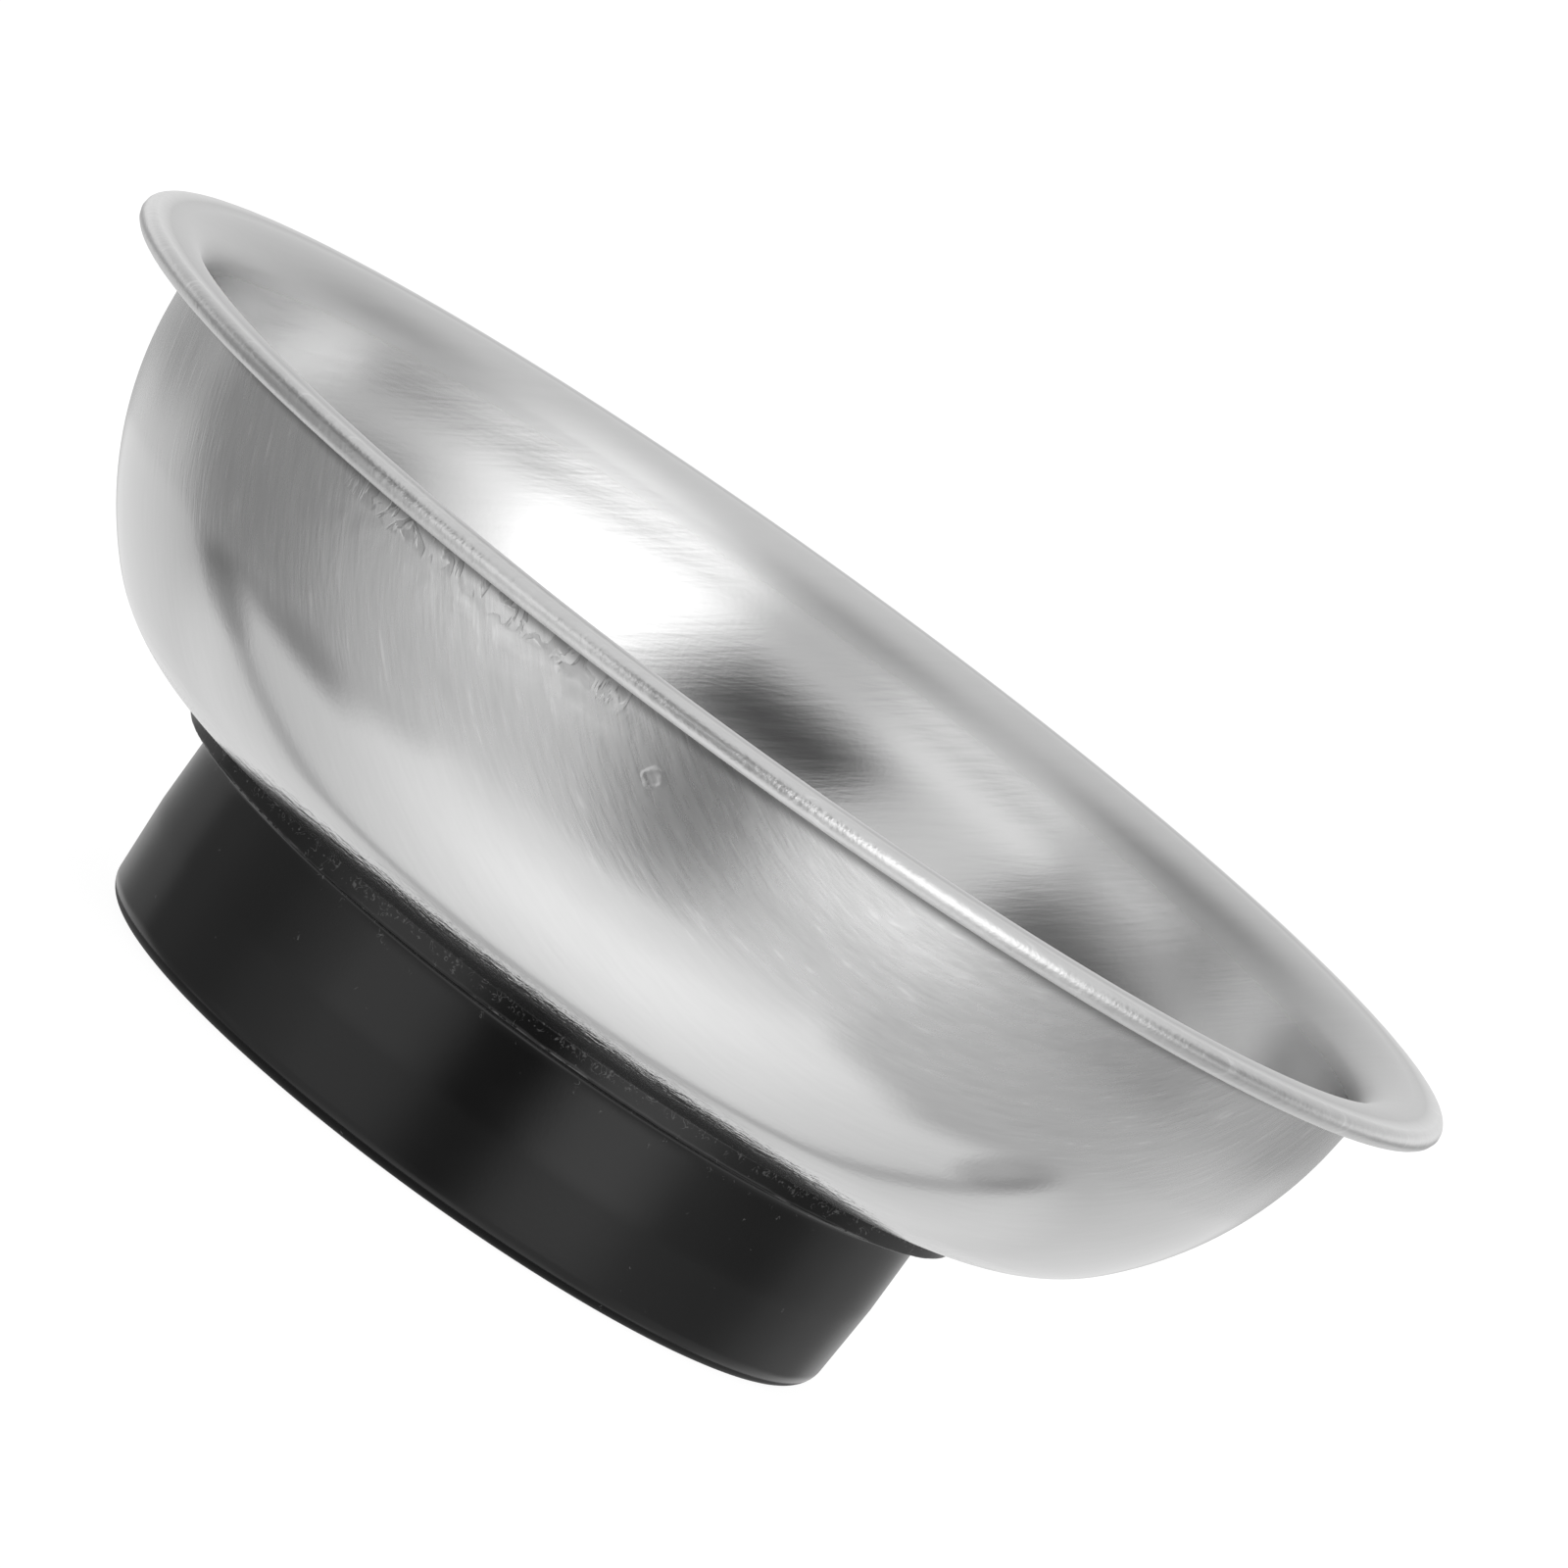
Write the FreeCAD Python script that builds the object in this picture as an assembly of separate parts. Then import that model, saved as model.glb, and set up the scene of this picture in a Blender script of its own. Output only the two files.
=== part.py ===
"""Magnetic parts dish: a pressed stainless bowl clamped on a rubber-covered ring magnet.

Millimetres, +Z up. The origin is on the table, under the centre of the dish. Every piece is
turned about the Z axis, apart from the hexagon of the nut and the cross in the screw's head.
"""
import FreeCAD, Part

import math
import os

V = FreeCAD.Vector

# Driving dimensions of the bowl
RIM_RADIUS = 54.0          # outside of the rolled edge
BOWL_HEIGHT = 25.3         # underside of the floor to the top of the flange
SHEET = 0.6                # sheet thickness
WALL_RADIUS = 49.0         # outside of the wall, level with the lower side of the rolled edge
WALL_DRAFT = 5.7           # degrees that the wall leans outwards
BELLY_RADIUS = 26.6        # outer radius of the curve below the wall
BELLY_Z = 37.4             # height of that curve's centre above the table
CORNER_RADIUS = 13.4       # outer radius of the tighter curve from the belly to the flat floor
FLANGE_FILLET = 2.2        # radius under the flange, where it meets the wall
HEM_HEIGHT = 1.6           # height of the rolled edge
HEM_LEG = 1.8              # length of the sheet turned back under the flange

# Driving dimensions of the base
BASE_HEIGHT = 15.0         # table to the underside of the bowl's floor
BASE_RADIUS = 29.7         # upper part of the cover's side
BASE_FOOT_RADIUS = 29.4    # cover's side at the table, before its corner is rounded
BASE_TAPER_HEIGHT = 6.9    # the side is straight above this height
BASE_CORNER = 1.6          # radius round the foot
LIP_RADIUS = 31.8          # edge of the lip that the flat floor of the bowl stands on
LIP_EDGE_HEIGHT = 13.4     # lower side of the lip at its edge
LIP_ROOT_FILLET = 0.4      # radius between the cover's side and the lip
COVER_BORE = 27.5          # inside radius of the cover
COVER_FLOOR = 2.5          # thickness of the rubber under the magnet
FOOT_RING_INNER = 21.0     # the cover touches the table outside this radius
FOOT_RECESS = 0.5          # height of the underside's middle above the table

# Driving dimensions of the pieces inside
MAGNET_BORE = 12.0
MAGNET_CHAMFER = 0.5
PLATE = 1.5                # thickness of the pole plate
HAT_RADIUS = 7.0           # inside of the pole plate's raised centre
HAT_HEIGHT = 8.2           # rise of the raised centre
HAT_OUTER_BEND = 2.0
PLATE_INNER_BEND = 0.2
GASKET = 1.0               # thickness of the fibre gasket
GASKET_INNER = 12.5
GASKET_OUTER = 24.8
BUSH_RADIUS = 5.5
BUSH_FLANGE_RADIUS = 8.0
BUSH_FLANGE = 1.0

# M5 fasteners
SCREW_RADIUS = 2.5
SCREW_LENGTH = 10.0
SCREW_HOLE = 2.75
HEAD_RADIUS = 5.0
HEAD_HEIGHT = 2.4
HEAD_EDGE = 0.5
SCREW_POINT = 0.4          # chamfer at the end of the screw
CROSS_WIDTH = 0.9
CROSS_SPAN = 5.0
CROSS_DEPTH = 1.5
WASHER_RADIUS = 5.0
WASHER = 1.0
NUT_FLATS = 8.0
NUT_HEIGHT = 4.0

# Heights that follow from them
FLOOR_TOP = BASE_HEIGHT + SHEET
RIM_TOP = BASE_HEIGHT + BOWL_HEIGHT
PLATE_TOP = COVER_FLOOR + PLATE
HAT_TOP = PLATE_TOP + HAT_HEIGHT
MAGNET_TOP = BASE_HEIGHT - GASKET
WASHER_TOP = HAT_TOP - PLATE
NUT_TOP = WASHER_TOP - WASHER

# The belly's arc touches the leaning wall, and the corner's arc touches the belly and the floor
DRAFT = math.radians(WALL_DRAFT)
WALL_FOOT_Z = BELLY_Z - BELLY_RADIUS * math.sin(DRAFT)
HEM_UNDERSIDE = RIM_TOP - HEM_HEIGHT
WALL_FOOT_R = WALL_RADIUS - (HEM_UNDERSIDE - WALL_FOOT_Z) * math.tan(DRAFT)
BELLY_R = WALL_FOOT_R - BELLY_RADIUS * math.cos(DRAFT)
CORNER_Z = BASE_HEIGHT + CORNER_RADIUS
JOIN_DEGREES = math.degrees(math.asin((BELLY_Z - CORNER_Z) / (BELLY_RADIUS - CORNER_RADIUS)))
CORNER_R = BELLY_R + (BELLY_RADIUS - CORNER_RADIUS) * math.cos(math.radians(JOIN_DEGREES))


def on_circle(centre, radius, degrees):
    """Point (r, z) on a circle in the half plane through the axis."""
    angle = math.radians(degrees)
    return (centre[0] + radius * math.cos(angle), centre[1] + radius * math.sin(angle))


def arc(centre, radius, start, end):
    """Arc step for turned(): its first, middle and last point."""
    return tuple(on_circle(centre, radius, degrees) for degrees in (start, (start + end) / 2, end))


def turned(*steps):
    """Solid of revolution whose half outline runs through points (r, z) and arcs, and closes."""
    edges = []
    first = last = None

    def line_to(point):
        if last is not None and math.dist(last, point) > 1e-6:
            edges.append(Part.makeLine(V(last[0], 0, last[1]), V(point[0], 0, point[1])))

    for step in steps:
        is_arc = isinstance(step[0], tuple)
        line_to(step[0] if is_arc else step)
        if is_arc:
            edges.append(Part.Arc(*[V(r, 0, z) for r, z in step]).toShape())
        if first is None:
            first = step[0] if is_arc else step
        last = step[2] if is_arc else step
    line_to(first)
    return Part.Face(Part.Wire(edges)).revolve(V(0, 0, 0), V(0, 0, 1), 360)


def bowl():
    """One sheet: floor with a screw hole, corner, belly, leaning wall, flange and rolled edge."""
    corner = (CORNER_R, CORNER_Z)
    belly = (BELLY_R, BELLY_Z)
    fillet_z = RIM_TOP - SHEET - FLANGE_FILLET
    wall_top_z = fillet_z + FLANGE_FILLET * math.sin(DRAFT)
    wall_top_r = WALL_RADIUS + (wall_top_z - HEM_UNDERSIDE) * math.tan(DRAFT)
    fillet = (wall_top_r + FLANGE_FILLET * math.cos(DRAFT), fillet_z)
    hem_radius = HEM_HEIGHT / 2
    hem = (RIM_RADIUS - hem_radius, RIM_TOP - hem_radius)
    leg_end = hem[0] - HEM_LEG
    return turned(
        (SCREW_HOLE, BASE_HEIGHT),
        arc(corner, CORNER_RADIUS, -90, -JOIN_DEGREES),
        arc(belly, BELLY_RADIUS, -JOIN_DEGREES, -WALL_DRAFT),
        arc(fillet, FLANGE_FILLET, 180 - WALL_DRAFT, 90),
        arc(hem, hem_radius - SHEET, 90, -90),
        (leg_end, HEM_UNDERSIDE + SHEET),
        (leg_end, HEM_UNDERSIDE),
        arc(hem, hem_radius, -90, 90),
        arc(fillet, FLANGE_FILLET + SHEET, 90, 180 - WALL_DRAFT),
        arc(belly, BELLY_RADIUS - SHEET, -WALL_DRAFT, -JOIN_DEGREES),
        arc(corner, CORNER_RADIUS - SHEET, -JOIN_DEGREES, -90),
        (SCREW_HOLE, FLOOR_TOP),
    )


def base_cover():
    """Moulded rubber cup: recessed underside, tapered side, and a lip under the bowl's floor."""
    corner = (BASE_FOOT_RADIUS - BASE_CORNER, BASE_CORNER)
    root = (BASE_RADIUS + LIP_ROOT_FILLET, LIP_EDGE_HEIGHT - 2 * LIP_ROOT_FILLET)
    return turned(
        (0, FOOT_RECESS),
        (FOOT_RING_INNER - FOOT_RECESS, FOOT_RECESS),
        (FOOT_RING_INNER, 0),
        arc(corner, BASE_CORNER, -90, 0),
        (BASE_RADIUS, BASE_TAPER_HEIGHT),
        arc(root, LIP_ROOT_FILLET, 180, 90),
        (LIP_RADIUS, LIP_EDGE_HEIGHT),
        (LIP_RADIUS, BASE_HEIGHT),
        (COVER_BORE, BASE_HEIGHT),
        (COVER_BORE, COVER_FLOOR),
        (0, COVER_FLOOR),
    )


def ring_magnet():
    """Ferrite ring with small chamfers at its outer corners."""
    outer = COVER_BORE
    return turned(
        (MAGNET_BORE, PLATE_TOP),
        (outer - MAGNET_CHAMFER, PLATE_TOP),
        (outer, PLATE_TOP + MAGNET_CHAMFER),
        (outer, MAGNET_TOP - MAGNET_CHAMFER),
        (outer - MAGNET_CHAMFER, MAGNET_TOP),
        (MAGNET_BORE, MAGNET_TOP),
    )


def pole_plate():
    """Pressed steel plate under the magnet, with a hat in the middle that holds the nut."""
    lower_bend = (HAT_RADIUS + PLATE + PLATE_INNER_BEND, PLATE_TOP + PLATE_INNER_BEND)
    upper_bend = (HAT_RADIUS + PLATE - HAT_OUTER_BEND, HAT_TOP - HAT_OUTER_BEND)
    return turned(
        (COVER_BORE, COVER_FLOOR),
        arc(lower_bend, PLATE + PLATE_INNER_BEND, -90, -180),
        arc(upper_bend, HAT_OUTER_BEND - PLATE, 0, 90),
        (SCREW_HOLE, HAT_TOP - PLATE),
        (SCREW_HOLE, HAT_TOP),
        arc(upper_bend, HAT_OUTER_BEND, 90, 0),
        arc(lower_bend, PLATE_INNER_BEND, -180, -90),
        (COVER_BORE, PLATE_TOP),
    )


def fibre_gasket():
    """Thin ring that keeps the bowl's floor off the brittle magnet."""
    return turned(
        (GASKET_INNER, MAGNET_TOP),
        (GASKET_OUTER, MAGNET_TOP),
        (GASKET_OUTER, BASE_HEIGHT),
        (GASKET_INNER, BASE_HEIGHT),
    )


def centre_bush():
    """Flanged bush that carries the screw's load from the bowl's floor to the pole plate."""
    flange_underside = BASE_HEIGHT - BUSH_FLANGE
    return turned(
        (SCREW_HOLE, HAT_TOP),
        (BUSH_RADIUS, HAT_TOP),
        (BUSH_RADIUS, flange_underside),
        (BUSH_FLANGE_RADIUS, flange_underside),
        (BUSH_FLANGE_RADIUS, BASE_HEIGHT),
        (SCREW_HOLE, BASE_HEIGHT),
    )


def cross_recess():
    """Cross-shaped tool that cuts the screw's drive: two tapering blades."""
    top = FLOOR_TOP + HEAD_HEIGHT
    cone = Part.makeCone(CROSS_WIDTH / 2, CROSS_SPAN / 2 + 0.2, CROSS_DEPTH + 0.2,
                         V(0, 0, top - CROSS_DEPTH), V(0, 0, 1))
    blades = []
    for length, width in ((CROSS_SPAN, CROSS_WIDTH), (CROSS_WIDTH, CROSS_SPAN)):
        blades.append(Part.makeBox(length, width, 2 * CROSS_DEPTH,
                                   V(-length / 2, -width / 2, top - CROSS_DEPTH)))
    return blades[0].fuse(blades[1]).common(cone)


def clamp_screw():
    """M5 screw with a low domed head that stands on the bowl's floor."""
    rise = HEAD_HEIGHT - HEAD_EDGE
    dome = (HEAD_RADIUS ** 2 + rise ** 2) / (2 * rise)
    dome_centre = (0, FLOOR_TOP + HEAD_HEIGHT - dome)
    edge_angle = math.degrees(math.acos(HEAD_RADIUS / dome))
    tip = FLOOR_TOP - SCREW_LENGTH
    body = turned(
        (0, tip),
        (SCREW_RADIUS - SCREW_POINT, tip),
        (SCREW_RADIUS, tip + SCREW_POINT),
        (SCREW_RADIUS, FLOOR_TOP),
        (HEAD_RADIUS, FLOOR_TOP),
        arc(dome_centre, dome, edge_angle, 90),
    )
    return body.cut(cross_recess())


def flat_washer():
    """Washer under the pole plate's raised centre."""
    return turned(
        (SCREW_HOLE, NUT_TOP),
        (WASHER_RADIUS, NUT_TOP),
        (WASHER_RADIUS, WASHER_TOP),
        (SCREW_HOLE, WASHER_TOP),
    )


def hex_nut():
    """M5 nut with chamfered corners; its bore is drawn at the screw's outer radius."""
    bottom = NUT_TOP - NUT_HEIGHT
    corner = NUT_FLATS / math.sqrt(3)
    points = [V(*on_circle((0, 0), corner, 60 * side), bottom) for side in range(7)]
    prism = Part.Face(Part.makePolygon(points)).extrude(V(0, 0, NUT_HEIGHT))
    flat = NUT_FLATS / 2
    drop = (corner - flat) * math.tan(math.radians(30))
    blank = turned(
        (SCREW_RADIUS, bottom),
        (flat, bottom),
        (corner, bottom + drop),
        (corner, NUT_TOP - drop),
        (flat, NUT_TOP),
        (SCREW_RADIUS, NUT_TOP),
    )
    return prism.common(blank)


PIECES = (bowl, base_cover, ring_magnet, pole_plate, fibre_gasket, centre_bush, clamp_screw,
          flat_washer, hex_nut)

os.makedirs("parts", exist_ok=True)
for piece in PIECES:
    shape = piece()
    if shape.ShapeType == "Compound" and len(shape.Solids) == 1:
        shape = shape.Solids[0]
    name = piece.__name__
    shape.exportStep(f"parts/{name}.step")
    box = shape.BoundBox
    print(f"{name:14s} valid {shape.isValid()} solids {len(shape.Solids)} "
          f"volume {shape.Volume:9.1f} mm3  r {box.XMax:6.2f}  z {box.ZMin:6.2f} to {box.ZMax:6.2f}")
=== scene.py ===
"""Looks of the magnetic parts dish: brushed stainless bowl on a black moulded rubber drum.

Metres, +Z up, in the frame of the CAD model. The camera stands on the -Y side.
"""

import math

import bpy
from mathutils import Matrix, Vector, noise


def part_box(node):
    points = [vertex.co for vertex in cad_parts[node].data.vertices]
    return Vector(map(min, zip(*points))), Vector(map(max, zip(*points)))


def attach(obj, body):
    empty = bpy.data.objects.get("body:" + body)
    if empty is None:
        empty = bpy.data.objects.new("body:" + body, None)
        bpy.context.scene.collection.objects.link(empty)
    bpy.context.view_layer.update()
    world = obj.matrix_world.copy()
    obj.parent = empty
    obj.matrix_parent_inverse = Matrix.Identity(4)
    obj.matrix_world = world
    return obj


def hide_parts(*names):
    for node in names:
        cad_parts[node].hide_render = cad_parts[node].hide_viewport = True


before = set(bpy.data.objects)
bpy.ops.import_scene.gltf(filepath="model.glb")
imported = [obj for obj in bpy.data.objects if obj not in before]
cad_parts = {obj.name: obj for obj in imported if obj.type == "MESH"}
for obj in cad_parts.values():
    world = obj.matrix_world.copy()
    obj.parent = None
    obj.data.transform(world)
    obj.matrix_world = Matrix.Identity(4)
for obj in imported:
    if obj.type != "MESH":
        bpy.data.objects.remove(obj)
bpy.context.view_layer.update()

MM = 0.001
PALE = (1.0, 1.0, 1.0, 1.0)

# Sizes read from the CAD frame
BOWL_LOW, BOWL_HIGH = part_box("bowl")
RIM_RADIUS = BOWL_HIGH.x
RIM_TOP = BOWL_HIGH.z
BOWL_FLOOR = BOWL_LOW.z          # underside of the floor
LIP_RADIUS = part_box("base_cover")[1].x
COVER_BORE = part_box("ring_magnet")[1].x

# Bowl profile, as it was pressed
SHEET = 0.6 * MM
WALL_RADIUS = 49.0 * MM
WALL_DRAFT = math.radians(5.7)
BELLY_RADIUS = 26.6 * MM
BELLY_Z = 37.4 * MM
CORNER_RADIUS = 13.4 * MM
FLANGE_FILLET = 2.2 * MM
HEM_HEIGHT = 1.6 * MM
HEM_LEG = 1.8 * MM
SCREW_HOLE = 2.75 * MM
WALL_FOOT_Z = BELLY_Z - BELLY_RADIUS * math.sin(WALL_DRAFT)
HEM_UNDERSIDE = RIM_TOP - HEM_HEIGHT
WALL_FOOT_R = WALL_RADIUS - (HEM_UNDERSIDE - WALL_FOOT_Z) * math.tan(WALL_DRAFT)
BELLY_R = WALL_FOOT_R - BELLY_RADIUS * math.cos(WALL_DRAFT)
CORNER_Z = BOWL_FLOOR + CORNER_RADIUS
JOIN = math.asin((BELLY_Z - CORNER_Z) / (BELLY_RADIUS - CORNER_RADIUS))
CORNER_R = BELLY_R + (BELLY_RADIUS - CORNER_RADIUS) * math.cos(JOIN)

# Rubber cover profile
BASE_RADIUS = 29.7 * MM
BASE_FOOT_RADIUS = 29.4 * MM
BASE_TAPER_HEIGHT = 6.9 * MM
BASE_CORNER = 1.6 * MM
LIP_EDGE_HEIGHT = 13.4 * MM
LIP_ROOT_FILLET = 0.4 * MM
COVER_FLOOR = 2.5 * MM
FOOT_RING_INNER = 21.0 * MM
FOOT_RECESS = 0.5 * MM
PIN_RADIUS = 0.02 * MM           # the turned outline stops just short of the axis

# Small faults
COVER_OFF_CENTRE = 0.15 * MM
WAVINESS = 0.035 * MM
FLAKE_HEIGHT = 0.07 * MM
ROLL_DENT = 0.05 * MM
FLASH_WIDTH = 0.03 * MM
DING = (-2.8 * MM, -48.3 * MM, 34.5 * MM)
DING_RADIUS = 0.62 * MM

SEGMENTS = 480                   # steps round the axis


# ---------------------------------------------------------------- camera

CAMERA_PLACE = Vector((0, -0.7898, 0.1403))
CAMERA_AIM = Vector((0.00407, 0, 0.03251))
CAMERA_ROLL = math.radians(35.98)
CAMERA_LENS = 270.0


def make_camera():
    """Long lens, looking down eight degrees, rolled so that the dish leans to the right."""
    data = bpy.data.cameras.new("camera")
    data.lens = CAMERA_LENS
    data.sensor_width = 36.0
    data.clip_start, data.clip_end = 0.01, 100.0
    camera = bpy.data.objects.new("camera", data)
    bpy.context.scene.collection.objects.link(camera)
    look = (CAMERA_AIM - CAMERA_PLACE).to_track_quat("-Z", "Y").to_matrix().to_4x4()
    camera.matrix_world = (Matrix.Translation(CAMERA_PLACE) @ look
                           @ Matrix.Rotation(CAMERA_ROLL, 4, "Z"))
    bpy.context.scene.camera = camera


# ---------------------------------------------------------------- node helpers

class Graph:
    """Short calls that add nodes to a tree and link them. Inputs are sockets or plain values."""

    def __init__(self, tree):
        self.tree = tree
        tree.nodes.clear()

    def put(self, socket, value):
        if isinstance(value, bpy.types.NodeSocket):
            self.tree.links.new(value, socket)
        elif value is not None:
            socket.default_value = value

    def node(self, kind, **settings):
        made = self.tree.nodes.new(kind)
        for name, value in settings.items():
            setattr(made, name, value)
        return made

    def math(self, operation, *values):
        made = self.node("ShaderNodeMath", operation=operation)
        for socket, value in zip(made.inputs, values):
            self.put(socket, value)
        return made.outputs[0]

    def product(self, first, *others):
        for other in others:
            first = self.math("MULTIPLY", first, other)
        return first

    def vary(self, value, pattern, amount):
        """Value moved up and down by a pattern that lies about a half."""
        return self.math("ADD", value, self.product(self.math("SUBTRACT", pattern, 0.5), amount))

    def separate(self, vector):
        made = self.node("ShaderNodeSeparateXYZ")
        self.put(made.inputs[0], vector)
        return made.outputs

    def combine(self, x, y, z):
        made = self.node("ShaderNodeCombineXYZ")
        for socket, value in zip(made.inputs, (x, y, z)):
            self.put(socket, value)
        return made.outputs[0]

    def stretched(self, vector, scales):
        parts = zip(self.separate(vector), scales)
        return self.combine(*(self.product(part, scale) for part, scale in parts))

    def dot(self, vector, constant):
        made = self.node("ShaderNodeVectorMath", operation="DOT_PRODUCT")
        self.put(made.inputs[0], vector)
        self.put(made.inputs[1], tuple(constant))
        return made.outputs["Value"]

    def attribute(self, name):
        return self.node("ShaderNodeAttribute", attribute_name=name).outputs["Fac"]

    def noise(self, vector, scale=1.0, detail=2.0, roughness=0.5, distortion=0.0):
        made = self.node("ShaderNodeTexNoise")
        for name, value in (("Vector", vector), ("Scale", scale), ("Detail", detail),
                            ("Roughness", roughness), ("Distortion", distortion)):
            self.put(made.inputs[name], value)
        return made.outputs[0]

    def remap(self, value, low, high, to_low=0.0, to_high=1.0):
        """Smooth step from low to high, which may stand in either order."""
        made = self.node("ShaderNodeMapRange", clamp=True, interpolation_type="SMOOTHSTEP")
        for name, given in (("Value", value), ("From Min", low), ("From Max", high),
                            ("To Min", to_low), ("To Max", to_high)):
            self.put(made.inputs[name], given)
        return made.outputs[0]

    def blend(self, factor, first, second):
        """Plain number between first and second."""
        made = self.node("ShaderNodeMix", data_type="FLOAT")
        for socket, value in zip((made.inputs[0], made.inputs[2], made.inputs[3]),
                                 (factor, first, second)):
            self.put(socket, value)
        return made.outputs[0]

    def ramp(self, value, stops):
        """Smooth curve through grey levels given as (place, level)."""
        made = self.node("ShaderNodeFloatCurve")
        curve = made.mapping.curves[0]
        top = max(level for _, level in stops)
        for number, (place, level) in enumerate(stops):
            if number < 2:
                point = curve.points[number]
                point.location = (place, level / top)
            else:
                point = curve.points.new(place, level / top)
            point.handle_type = "AUTO_CLAMPED"
        made.mapping.update()
        self.put(made.inputs["Value"], value)
        return self.product(made.outputs[0], top)

    def grey(self, value):
        made = self.node("ShaderNodeCombineColor")
        for socket in made.inputs:
            self.put(socket, value)
        return made.outputs[0]

    def bump(self, height, distance, strength=1.0, normal=None):
        made = self.node("ShaderNodeBump")
        self.put(made.inputs["Height"], height)
        self.put(made.inputs["Distance"], distance)
        self.put(made.inputs["Strength"], strength)
        self.put(made.inputs["Normal"], normal)
        return made.outputs[0]

    def surface(self, **inputs):
        """Principled shader, joined to the output. Input names use _ for spaces."""
        shader = self.node("ShaderNodeBsdfPrincipled")
        for name, value in inputs.items():
            self.put(shader.inputs[name.replace("_", " ")], value)
        out = self.node("ShaderNodeOutputMaterial")
        self.tree.links.new(shader.outputs[0], out.inputs["Surface"])


def new_material(name):
    material = bpy.data.materials.new(name)
    material.use_nodes = True
    return material, Graph(material.node_tree)


# ---------------------------------------------------------------- studio light and stage

def round_level(g, place, levels):
    """Light level by azimuth, from (degrees to the right of the camera, level)."""
    return g.ramp(place, [(degrees / 360 + 0.5, level) for degrees, level in levels])


def between(g, angle, low, high, to_low=0.0, to_high=1.0):
    """Smooth step over an angle, with its ends in degrees."""
    return g.remap(angle, math.radians(low), math.radians(high), to_low, to_high)


def lamps_above(g, place, azimuth, elevation):
    """Lamps over the horizon. The dark gap between them, at the camera, leans to the left."""
    slope = between(g, azimuth, -8, 4, 0.35 / (2 * math.pi), 0.62 / (2 * math.pi))
    lean = g.product(g.math("SUBTRACT", math.radians(36), elevation), slope,
                     between(g, g.math("ABSOLUTE", azimuth), 46, 24))
    lamps = round_level(g, g.math("ADD", place, lean), (
        (-180, 0.85), (-150, 0.72), (-122, 0.56), (-95, 0.14), (-66, 0.14), (-56, 0.46), (-46, 0.82),
        (-28, 0.72), (-19, 0.36), (-14, 0.0), (11, 0.0), (16, 0.20), (21, 0.60), (26, 1.05),
        (31, 1.6), (37, 1.95), (46, 1.95), (54, 1.65), (64, 1.12), (76, 0.72), (86, 0.36),
        (96, 0.22), (110, 0.34), (126, 0.64), (150, 0.72), (180, 0.85)))
    horizon = round_level(g, place, (
        (-180, 1.05), (-150, 0.98), (-130, 0.90), (-112, 0.82), (-90, 0.54), (-70, 0.42),
        (-56, 1.0), (-46, 1.34), (-26, 1.30), (-12, 0.94), (0, 0.88), (12, 0.96), (22, 1.2),
        (32, 1.45), (46, 1.55), (56, 1.55), (72, 1.10), (88, 0.86), (106, 0.73), (120, 0.92),
        (132, 1.03), (180, 1.05)))
    return g.math("MAXIMUM", lamps, g.product(between(g, elevation, 24, 9), horizon))


def level_band(g, place, aside, elevation):
    """Two bands: one level with the dish, seen by the rubber, and one below it, seen by the wall."""
    below = round_level(g, place, (
        (-180, 0.84), (-160, 0.82), (-140, 0.76), (-124, 0.60), (-115, 0.30), (-88, 0.34),
        (-74, 0.58), (-55, 0.65), (-38, 0.72), (-24, 0.68), (-12, 0.46), (-5, 0.30), (0, 0.24),
        (5, 0.30), (11, 0.46), (20, 0.72), (32, 0.77), (44, 0.73), (56, 0.66), (72, 0.63),
        (92, 0.58), (108, 0.60), (130, 0.72), (155, 0.80), (180, 0.84)))
    across = round_level(g, place, (
        (-180, 0.62), (-166, 0.54), (-148, 0.38), (-138, 0.36), (-128, 0.42), (-122, 0.42),
        (-119, 0.24), (-104, 0.33), (-82, 0.33), (-72, 0.45), (-62, 0.63), (-52, 0.88),
        (-42, 1.12), (-30, 1.10), (-22, 0.92), (-13, 0.42), (-5, 0.06), (4, 0.05), (10, 0.30),
        (18, 0.95), (26, 1.40), (36, 1.46), (45, 1.26), (53, 0.88), (62, 0.46), (74, 0.34),
        (88, 0.25), (98, 0.30), (114, 0.46), (124, 0.46), (132, 0.42), (143, 0.36), (152, 0.38),
        (166, 0.54), (180, 0.62)))
    raised = between(g, aside, 138, 156, 0.0, math.radians(4))
    return g.blend(between(g, g.math("SUBTRACT", elevation, raised), -18, -13.5), below, across)


def table_level(g, x, y):
    """The table by direction: brightest in front of the dish, with a dark line behind it."""
    table = g.ramp(g.math("MULTIPLY_ADD", y, 0.5, 0.5), [
        (0.0, 0.60), (0.15, 0.84), (0.28, 1.08), (0.34, 1.17), (0.40, 1.16), (0.46, 1.09),
        (0.54, 1.00), (0.61, 0.92), (0.64, 0.80), (0.668, 0.56), (0.70, 0.80), (1.0, 0.94)])
    to_left = g.math("MULTIPLY_ADD", g.remap(x, -0.12, -0.66), -0.22, 1.0)
    to_right = g.math("MULTIPLY_ADD", g.remap(x, 0.15, 0.6), -0.12, 1.0)
    in_front = g.remap(y, 0.36, 0.28)
    return g.product(table, g.blend(in_front, 1.0, g.product(to_left, to_right)))


def table_edge(g, aside, elevation):
    """0 above the table's edge and 1 below it. The edge lies lower in front and at the sides."""
    at_sides = g.product(between(g, aside, 32, 60, 0.0, math.radians(14)), between(g, aside, 112, 84))
    lower = g.math("ADD", at_sides, between(g, aside, 26, 8, 0.0, math.radians(9)))
    return between(g, g.math("ADD", elevation, lower), -32, -42)


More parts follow.
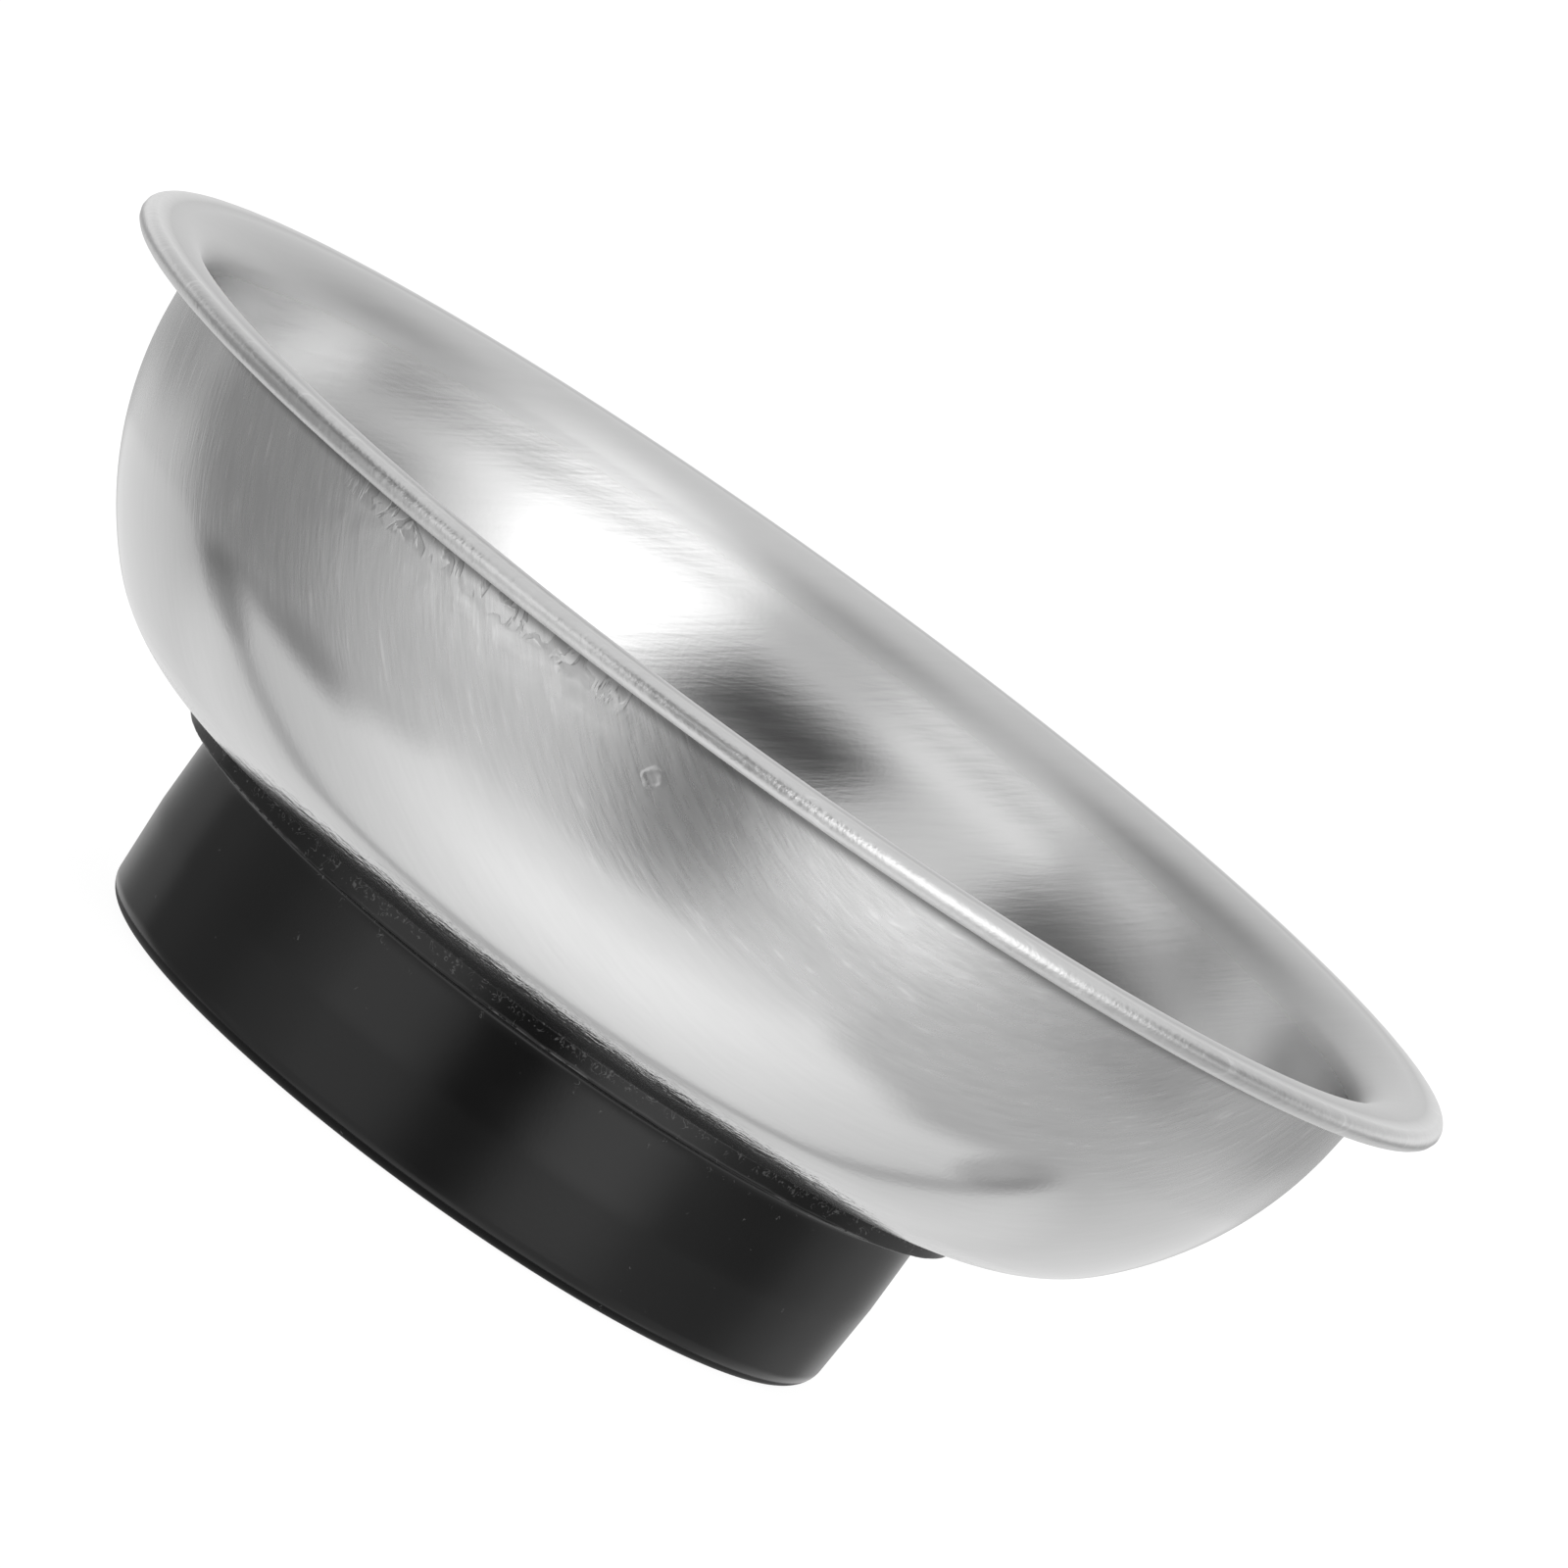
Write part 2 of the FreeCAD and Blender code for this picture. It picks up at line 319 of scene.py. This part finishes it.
def make_world():
    """Soft studio round the dish: lamps above, two bands of light beside it, a pale table below."""
    world = bpy.data.worlds.new("studio")
    bpy.context.scene.world = world
    world.use_nodes = True
    g = Graph(world.node_tree)
    direction = g.node("ShaderNodeTexCoord").outputs["Generated"]
    x, y, z = g.separate(direction)
    elevation = g.math("ARCSINE", z)
    azimuth = g.math("ARCTAN2", x, g.product(y, -1.0))
    aside = g.math("ABSOLUTE", azimuth)
    place = g.math("ADD", g.math("DIVIDE", azimuth, 2 * math.pi), 0.5)

    above = lamps_above(g, place, azimuth, elevation)
    level = g.blend(between(g, elevation, -5, 1), level_band(g, place, aside, elevation), above)
    ahead = between(g, aside, 26, 12, 0.0, math.radians(3))
    ceiling = 0.88
    level = g.blend(between(g, g.math("SUBTRACT", elevation, ahead), 32, 52), level, ceiling)
    level = g.blend(table_edge(g, aside, elevation), level, table_level(g, x, y))
    for side, down in ((-115, -38), (110, -42)):
        flat = math.cos(math.radians(down))
        corner = Vector((math.sin(math.radians(side)) * flat, -math.cos(math.radians(side)) * flat,
                         math.sin(math.radians(down))))
        near = g.remap(g.dot(direction, corner), math.cos(math.radians(8)), math.cos(math.radians(3)))
        level = g.product(level, g.math("MULTIPLY_ADD", near, -0.32, 1.0))
    background = g.node("ShaderNodeBackground")
    g.put(background.inputs["Color"], g.grey(level))
    out = g.node("ShaderNodeOutputWorld")
    g.tree.links.new(background.outputs[0], out.inputs["Surface"])


def stage_piece(name, vertices, faces, finish, tone, glow):
    """Matt piece of the stage that gives off light of its own."""
    mesh = bpy.data.meshes.new(name)
    mesh.from_pydata(vertices, [], faces)
    piece = bpy.data.objects.new(name, mesh)
    bpy.context.scene.collection.objects.link(piece)
    material, g = new_material(finish)
    g.surface(Base_Color=(tone, tone, tone, 1), Roughness=1.0, Specular_IOR_Level=0.0,
              Emission_Color=PALE, Emission_Strength=glow)
    mesh.materials.append(material)
    return piece


def make_floor():
    """Wide pale table that gives off nearly all of its own light, so shadows stay faint."""
    size = 12.0
    height = -0.02 * MM
    corners = [(-size, -size, height), (size, -size, height), (size, size, height), (-size, size, height)]
    floor = stage_piece("floor", corners, [(0, 1, 2, 3)], "pale_table", 0.16, 0.95)
    floor.visible_glossy = False


def make_contact_shade():
    """Painted contact shadow: a dark strip on the table round the foot, seen only in reflections."""
    height = 0.02 * MM
    rings = (BASE_FOOT_RADIUS - 1.5 * MM, BASE_FOOT_RADIUS + 0.1 * MM)
    turns = [2 * math.pi * i / SEGMENTS for i in range(SEGMENTS)]
    vertices = [(r * math.sin(turn), r * math.cos(turn), height) for turn in turns for r in rings]
    count = len(vertices)
    faces = [(i, i + 1, (i + 3) % count, (i + 2) % count) for i in range(0, count, 2)]
    shade = stage_piece("contact_shade", vertices, faces, "painted_contact_shadow", 0.02, 0.16)
    shade.visible_camera = False
    shade.visible_diffuse = False
    shade.visible_shadow = False


# ---------------------------------------------------------------- turned meshes

def on_circle(centre, radius, angle):
    return (centre[0] + radius * math.cos(angle), centre[1] + radius * math.sin(angle))


def arc(centre, radius, start, end, steps):
    """Points of an arc, angles in degrees."""
    return [on_circle(centre, radius, math.radians(start + (end - start) * i / steps))
            for i in range(steps + 1)]


def line(first, last, steps):
    """Points from first to last, without the last."""
    return [(first[0] + (last[0] - first[0]) * i / steps,
             first[1] + (last[1] - first[1]) * i / steps) for i in range(steps)]


def turned(name, profile, shift, marks=None):
    """Mesh turned from a closed half outline of (r, z). shift(r, azimuth, z) moves each point.

    Azimuth is 0 at the camera's side and grows towards +X. marks maps the name of an attribute
    to its value at each point of the outline, for the material to read.
    """
    vertices = []
    for number in range(SEGMENTS):
        azimuth = 2 * math.pi * number / SEGMENTS
        for r, z in profile:
            r, z = shift(r, azimuth, z)
            vertices.append((r * math.sin(azimuth), -r * math.cos(azimuth), z))
    count = len(profile)
    faces = []
    for number in range(SEGMENTS):
        here, there = number * count, (number + 1) % SEGMENTS * count
        for i in range(count):
            j = (i + 1) % count
            faces.append((here + i, here + j, there + j, there + i))
    mesh = bpy.data.meshes.new(name)
    mesh.from_pydata(vertices, [], faces)
    for title, values in (marks or {}).items():
        attribute = mesh.attributes.new(title, "FLOAT", "POINT")
        attribute.data.foreach_set("value", list(values) * SEGMENTS)
    mesh.shade_smooth()
    mesh.validate()
    piece = bpy.data.objects.new(name, mesh)
    bpy.context.scene.collection.objects.link(piece)
    return piece


def signed(azimuth):
    """Azimuth in degrees from -180 to 180."""
    return (math.degrees(azimuth) + 180) % 360 - 180


def window(value, low, high, soft):
    """1 between low and high, falling to 0 over soft outside them."""
    rise = min(max((value - low) / soft + 1, 0), 1)
    fall = min(max((high - value) / soft + 1, 0), 1)
    return rise * rise * (3 - 2 * rise) * fall * fall * (3 - 2 * fall)


def bowl_profile():
    """Closed outline of the sheet, and for each point how far it is inside and on the roll."""
    draft, join = math.degrees(WALL_DRAFT), math.degrees(JOIN)
    belly, corner = (BELLY_R, BELLY_Z), (CORNER_R, CORNER_Z)
    fillet_z = RIM_TOP - SHEET - FLANGE_FILLET
    wall_top_z = fillet_z + FLANGE_FILLET * math.sin(WALL_DRAFT)
    wall_top_r = WALL_RADIUS + (wall_top_z - HEM_UNDERSIDE) * math.tan(WALL_DRAFT)
    fillet = (wall_top_r + FLANGE_FILLET * math.cos(WALL_DRAFT), fillet_z)
    hem_radius = HEM_HEIGHT / 2
    hem = (RIM_RADIUS - hem_radius, RIM_TOP - hem_radius)
    leg_end = hem[0] - HEM_LEG
    wall_outer = line(on_circle(belly, BELLY_RADIUS, -WALL_DRAFT), (wall_top_r, wall_top_z), 7)[1:]
    wall_inner = [(r - SHEET * math.cos(WALL_DRAFT), z + SHEET * math.sin(WALL_DRAFT))
                  for r, z in reversed(wall_outer)]
    outside = (
        line((SCREW_HOLE, BOWL_FLOOR), (CORNER_R, BOWL_FLOOR), 12)
        + arc(corner, CORNER_RADIUS, -90, -join, 20)
        + arc(belly, BELLY_RADIUS, -join, -draft, 22)[1:]
        + wall_outer
        + arc(fillet, FLANGE_FILLET, 180 - draft, 90, 14)
    )
    rolled = (
        arc(hem, hem_radius - SHEET, 90, -90, 6)
        + [(leg_end, HEM_UNDERSIDE + SHEET), (leg_end, HEM_UNDERSIDE)]
        + arc(hem, hem_radius, -90, 90, 16)
    )
    inside = (
        arc(fillet, FLANGE_FILLET + SHEET, 90, 180 - draft, 24)
        + wall_inner
        + arc(belly, BELLY_RADIUS - SHEET, -draft, -join, 22)
        + arc(corner, CORNER_RADIUS - SHEET, -join, -90, 20)[1:]
        + line((CORNER_R, BOWL_FLOOR + SHEET), (SCREW_HOLE, BOWL_FLOOR + SHEET), 12)[1:]
        + [(SCREW_HOLE, BOWL_FLOOR + SHEET)]
    )
    marks = {
        "inside": [0.0] * len(outside + rolled) + [1.0] * len(inside),
        "rolled": [0.0] * len(outside) + [1.0] * len(rolled) + [0.0] * len(inside),
    }
    return outside + rolled + inside, marks


def bowl_shift(r, azimuth, z):
    """Small faults of the pressing: a faint waviness, wrinkles under the rim, an uneven roll."""
    place = Vector((math.sin(azimuth), -math.cos(azimuth), 0))
    wall = window(z, BOWL_FLOOR + 6 * MM, HEM_UNDERSIDE, 4 * MM)
    r += wall * WAVINESS * noise.noise(place * 2.2 + Vector((0, 0, z / (14 * MM))))
    degrees = signed(azimuth)
    wrinkled = window(degrees, -34, -12, 7) * window(z, 35.2 * MM, 37.6 * MM, 1.3 * MM)
    if wrinkled:
        flake = noise.noise(Vector((degrees * 0.9 + z / (1.6 * MM), z / (0.9 * MM), 3.0)))
        r += wrinkled * FLAKE_HEIGHT * flake
    if r > RIM_RADIUS - HEM_HEIGHT / 2:
        r -= ROLL_DENT * (0.7 + 0.5 * noise.noise(place * 30.0))
    return r, z


def make_bowl(steel):
    profile, marks = bowl_profile()
    piece = turned("bowl_shell", profile, bowl_shift, marks)
    piece.data.materials.append(steel)
    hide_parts("bowl")
    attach(piece, "root")


def cover_profile():
    """Closed outline of the rubber cup, from the middle of its underside and back to its floor."""
    corner = (BASE_FOOT_RADIUS - BASE_CORNER, BASE_CORNER)
    root = (BASE_RADIUS + LIP_ROOT_FILLET, LIP_EDGE_HEIGHT - 2 * LIP_ROOT_FILLET)
    recess_edge = FOOT_RING_INNER - FOOT_RECESS
    chamfer = 0.1 * MM
    lip = (
        [(LIP_RADIUS, LIP_EDGE_HEIGHT), (LIP_RADIUS + FLASH_WIDTH, LIP_EDGE_HEIGHT + 0.05 * MM),
         (LIP_RADIUS, LIP_EDGE_HEIGHT + 0.16 * MM)]
        + line((LIP_RADIUS, LIP_EDGE_HEIGHT + 0.3 * MM), (LIP_RADIUS, BOWL_FLOOR - chamfer), 6)
        + [(LIP_RADIUS, BOWL_FLOOR - chamfer), (LIP_RADIUS - chamfer, BOWL_FLOOR)]
        + line((LIP_RADIUS - 0.6 * MM, BOWL_FLOOR), (COVER_BORE, BOWL_FLOOR), 6)
    )
    return (
        line((PIN_RADIUS, FOOT_RECESS), (recess_edge, FOOT_RECESS), 14)
        + arc((recess_edge, 0), FOOT_RECESS, 90, 0, 5)[:-1]
        + line((FOOT_RING_INNER, 0), (corner[0], 0), 6)
        + arc(corner, BASE_CORNER, -90, 0, 12)
        + line((BASE_FOOT_RADIUS, BASE_CORNER), (BASE_RADIUS, BASE_TAPER_HEIGHT), 8)[1:]
        + line((BASE_RADIUS, BASE_TAPER_HEIGHT), (BASE_RADIUS, root[1]), 9)
        + arc(root, LIP_ROOT_FILLET, 180, 90, 5)
        + lip
        + line((COVER_BORE, BOWL_FLOOR), (COVER_BORE, COVER_FLOOR), 6)
        + line((COVER_BORE, COVER_FLOOR), (PIN_RADIUS, COVER_FLOOR), 8)
        + [(PIN_RADIUS, COVER_FLOOR)]
    )


def cover_shift(r, azimuth, z):
    """The cover sits a hair to the right, and thin ragged flash runs along the lip's edge."""
    if r > COVER_BORE:
        r += COVER_OFF_CENTRE * math.sin(azimuth) * min((r - COVER_BORE) / MM, 1.0)
    if LIP_EDGE_HEIGHT - 0.01 * MM < z < LIP_EDGE_HEIGHT + 0.2 * MM and r > BASE_RADIUS + MM:
        place = Vector((math.sin(azimuth), -math.cos(azimuth), 0))
        ragged = noise.noise(place * 45.0) * 0.6 + noise.noise(place * 14.0) * 0.4
        z += 0.07 * MM * ragged
        r += 0.04 * MM * max(ragged, -0.4)
    return r, z


def make_cover(rubber):
    piece = turned("base_cover_shell", cover_profile(), cover_shift)
    piece.data.materials.append(rubber)
    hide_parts("base_cover")
    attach(piece, "root")


# ---------------------------------------------------------------- materials

def brush_strokes(g, place, axis, across, length, detail=2.0):
    """Noise drawn out along circles round an axis, as a turning brush leaves it."""
    axis = Vector(axis).normalized()
    side = axis.orthogonal().normalized()
    other = axis.cross(side)
    return g.noise(g.combine(g.dot(place, axis * across), g.dot(place, side * length),
                             g.dot(place, other * length)), 1.0, detail, 0.6)


def film_mask(g, place, outside):
    """Where a wrinkled film clings: under the rim, at the front, left of the middle."""
    x, y, z = g.separate(place)
    across = g.product(g.remap(x, -32 * MM, -27 * MM), g.remap(x, -5 * MM, -11 * MM))
    front = g.product(g.remap(y, 0.0, -20 * MM), outside)
    ragged = g.math("MULTIPLY_ADD", g.noise(place, 420.0, 2.0, 0.6), -2.2 * MM, z)
    return g.product(g.product(across, front), g.remap(ragged, 35.2 * MM, 35.8 * MM))


def ding_ring(g, place, outside):
    """Height of the ring-shaped ding, broken up by noise."""
    wobble = g.node("ShaderNodeVectorMath", operation="ADD")
    g.put(wobble.inputs[0], place)
    g.put(wobble.inputs[1], g.combine(g.product(g.noise(place, 1300.0, 1.0), 0.6 * MM), 0.0, 0.0))
    ding = g.node("ShaderNodeVectorMath", operation="DISTANCE")
    g.put(ding.inputs[0], wobble.outputs[0])
    g.put(ding.inputs[1], DING)
    off_ring = g.math("ABSOLUTE", g.math("SUBTRACT", ding.outputs["Value"], DING_RADIUS))
    return g.product(g.remap(off_ring, 0.30 * MM, 0.0), outside, g.noise(place, 1900.0, 1.0))


def brushed_steel(name):
    """Stainless sheet: wheel-brushed above, smoother and brighter underneath."""
    material, g = new_material(name)
    place = g.node("ShaderNodeTexCoord").outputs["Object"]
    z = g.separate(place)[2]
    inside, rolled = g.attribute("inside"), g.attribute("rolled")

    # Zones, from the rim down
    outside = g.math("SUBTRACT", 1.0, g.math("MAXIMUM", inside, rolled))
    # painted shade: the outer wall darkens just under the rim, where the hem shades it
    painted_rim_shade = g.product(outside, g.remap(z, 37.2 * MM, 38.1 * MM))
    under = g.product(outside, g.remap(z, 28.8 * MM, 26.6 * MM))
    corner = g.product(outside, g.remap(z, 18.2 * MM, 17.4 * MM))
    deep_corner = g.product(outside, g.remap(z, 17.1 * MM, 16.5 * MM))
    quiet = g.math("MAXIMUM", inside, under)
    film = film_mask(g, place, outside)

    # Patterns
    outer = g.blend(0.4, brush_strokes(g, place, (0.73, -1.76, 1.0), 2400.0, 190.0),
                    brush_strokes(g, place, (0.5, -1.5, 0.6), 3600.0, 420.0))
    inner = g.blend(0.3, brush_strokes(g, place, (-0.8, 0.3, 1.0), 1500.0, 100.0),
                    brush_strokes(g, place, (-0.6, 0.5, 1.2), 3000.0, 260.0))
    streak = g.blend(inside, outer, inner)
    scratch = g.remap(streak, 0.60, 0.68)
    clouds = g.noise(place, 70.0, 3.0, 0.55, 0.4)
    grain = g.noise(place, 2600.0, 2.0, 0.6)
    burr = g.noise(place, 420.0, 4.0, 0.7)
    flakes = g.remap(g.noise(g.stretched(place, (1000.0, 1000.0, 480.0)), 0.75, 2.0, 0.5, 1.6), 0.44, 0.53)
    specks = g.noise(g.stretched(place, (900.0, 900.0, 3600.0)), 1.0, 3.0, 0.65)

    rough = g.blend(inside, 0.27, g.remap(z, 36.2 * MM, 38.8 * MM, 0.21, 0.50))
    rough = g.blend(under, rough, 0.10)
    rough = g.blend(corner, rough, 0.04)
    rough = g.blend(deep_corner, rough, 0.15)
    rough = g.blend(rolled, rough, 0.34)
    rough = g.vary(rough, streak, g.blend(quiet, 0.14, 0.05))
    rough = g.vary(rough, clouds, 0.05)

    tone = g.vary(0.67, streak, g.blend(quiet, 0.18, 0.06))
    tone = g.vary(tone, clouds, 0.05)
    tone = g.math("ADD", tone, g.product(scratch, g.blend(quiet, 0.07, 0.0)))
    # painted shade under the rim: tone falls by up to 60 percent there
    tone = g.product(tone, g.math("MULTIPLY_ADD", painted_rim_shade, -0.60, 1.0))
    tone = g.product(tone, g.blend(film, 1.0, g.blend(flakes, 0.78, 1.04)))

    depth = g.blend(under, g.blend(inside, 1.0, 0.6), 0.07)
    normal = g.bump(g.product(streak, depth), 0.024 * MM)
    normal = g.bump(grain, g.blend(rolled, 0.003 * MM, 0.03 * MM), 1.0, normal)
    normal = g.bump(g.product(burr, rolled), 0.06 * MM, 1.0, normal)
    normal = g.bump(g.product(flakes, film), 0.025 * MM, 1.0, normal)
    normal = g.bump(ding_ring(g, place, outside), 0.03 * MM, 1.0, normal)
    normal = g.bump(g.product(specks, corner), 0.05 * MM, 1.0, normal)
    tangent = g.node("ShaderNodeTangent", direction_type="RADIAL", axis="Z").outputs[0]
    g.surface(Base_Color=g.grey(tone), Metallic=1.0, Roughness=rough, Normal=normal,
              Tangent=tangent, Anisotropic=0.6, Anisotropic_Rotation=0.25)
    return material


def lint_and_flash_highlight(g, place, z):
    """Lint fibres and specks, thickest on the lip, and a painted highlight on the broken flash below it.
    """
    on_lip = g.math("ADD", g.product(g.remap(z, 10.5 * MM, 13.0 * MM), 0.4),
                    g.product(g.remap(z, 13.8 * MM, 14.5 * MM), 0.6))
    off_path = g.math("ABSOLUTE", g.math("SUBTRACT", g.noise(place, 1300.0, 1.0, 0.5, 1.5), 0.5))
    sparse = g.remap(g.noise(place, 1150.0, 1.0, 0.5),
                     g.blend(on_lip, 0.76, 0.42), g.blend(on_lip, 0.80, 0.56))
    fibres = g.product(g.remap(off_path, 0.030, 0.008), sparse)
    specks = g.remap(g.noise(place, 3400.0, 1.0, 0.6),
                     g.blend(on_lip, 0.84, 0.60), g.blend(on_lip, 0.88, 0.72))
    lint = g.math("MAXIMUM", g.product(specks, 0.7), g.product(fibres, 0.8))
    # painted highlight: a pale broken line along the flash at the lip's lower edge
    broken = g.product(g.remap(g.noise(place, 110.0, 2.0, 0.6), 0.47, 0.56),
                       g.remap(g.noise(place, 1500.0, 2.0, 0.6), 0.36, 0.52))
    off_edge = g.math("ABSOLUTE", g.math("SUBTRACT", z, LIP_EDGE_HEIGHT + 0.08 * MM))
    return g.math("MAXIMUM", lint, g.product(broken, g.remap(off_edge, 0.07 * MM, 0.02 * MM)))


def black_rubber(name):
    """Satin moulded rubber with a fine grain and pale lint, most of it caught on the lip."""
    material, g = new_material(name)
    place = g.node("ShaderNodeTexCoord").outputs["Object"]
    grain = g.noise(place, 4200.0, 3.0, 0.6)
    patches = g.noise(place, 130.0, 3.0, 0.5)
    bare = g.math("ADD", 0.0025, g.product(patches, 0.003))
    # lint colour, and a painted highlight along the flash
    tone = g.blend(lint_and_flash_highlight(g, place, g.separate(place)[2]), bare, 0.09)
    rough = g.math("ADD", 0.14, g.product(patches, 0.08))
    g.surface(Base_Color=g.grey(tone), Roughness=rough, Normal=g.bump(grain, 0.005 * MM, 0.6),
              IOR=1.5, Specular_IOR_Level=0.40)
    return material


def plain_metal(name, tone, rough):
    """Zinc or nickel on steel: a cloudy plated finish with fine tool marks."""
    material, g = new_material(name)
    place = g.node("ShaderNodeTexCoord").outputs["Object"]
    clouds = g.noise(place, 260.0, 3.0, 0.5)
    marks = g.noise(place, 1500.0, 2.0, 0.6)
    shade = g.math("ADD", tone - 0.04, g.product(clouds, 0.08))
    roughness = g.math("ADD", rough - 0.04, g.product(marks, 0.10))
    g.surface(Base_Color=g.grey(shade), Metallic=1.0, Roughness=roughness,
              Normal=g.bump(marks, 0.004 * MM, 0.4))
    return material


def grainy(name, colour, rough, scale, depth):
    """Ferrite, fibre or nylon: one colour broken up by grain."""
    material, g = new_material(name)
    place = g.node("ShaderNodeTexCoord").outputs["Object"]
    grain = g.noise(place, scale, 4.0, 0.6)
    shades = g.node("ShaderNodeMix", data_type="RGBA")
    g.put(shades.inputs[0], grain)
    g.put(shades.inputs[6], tuple(c * 0.8 for c in colour) + (1.0,))
    g.put(shades.inputs[7], tuple(min(c * 1.2, 1.0) for c in colour) + (1.0,))
    g.surface(Base_Color=shades.outputs[2], Roughness=rough, Normal=g.bump(grain, depth, 0.6))
    return material


def finish_cad_nodes():
    """Materials for the CAD pieces that stay as they are."""
    zinc = plain_metal("zinc_plate", 0.62, 0.28)
    looks = {
        "ring_magnet": grainy("ferrite", (0.055, 0.055, 0.06), 0.75, 1800.0, 0.03 * MM),
        "pole_plate": zinc,
        "fibre_gasket": grainy("red_fibre", (0.30, 0.07, 0.05), 0.8, 2400.0, 0.02 * MM),
        "centre_bush": grainy("natural_nylon", (0.80, 0.78, 0.72), 0.45, 900.0, 0.005 * MM),
        "clamp_screw": plain_metal("nickel_screw", 0.68, 0.22),
        "flat_washer": zinc,
        "hex_nut": zinc,
    }
    for name, material in looks.items():
        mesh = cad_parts[name].data
        mesh.materials.clear()
        mesh.materials.append(material)


make_camera()
make_world()
make_floor()
make_contact_shade()
make_bowl(brushed_steel("brushed_stainless"))
make_cover(black_rubber("black_rubber"))
finish_cad_nodes()

settings = bpy.context.scene.view_settings
settings.view_transform = "Standard"
settings.look = "None"
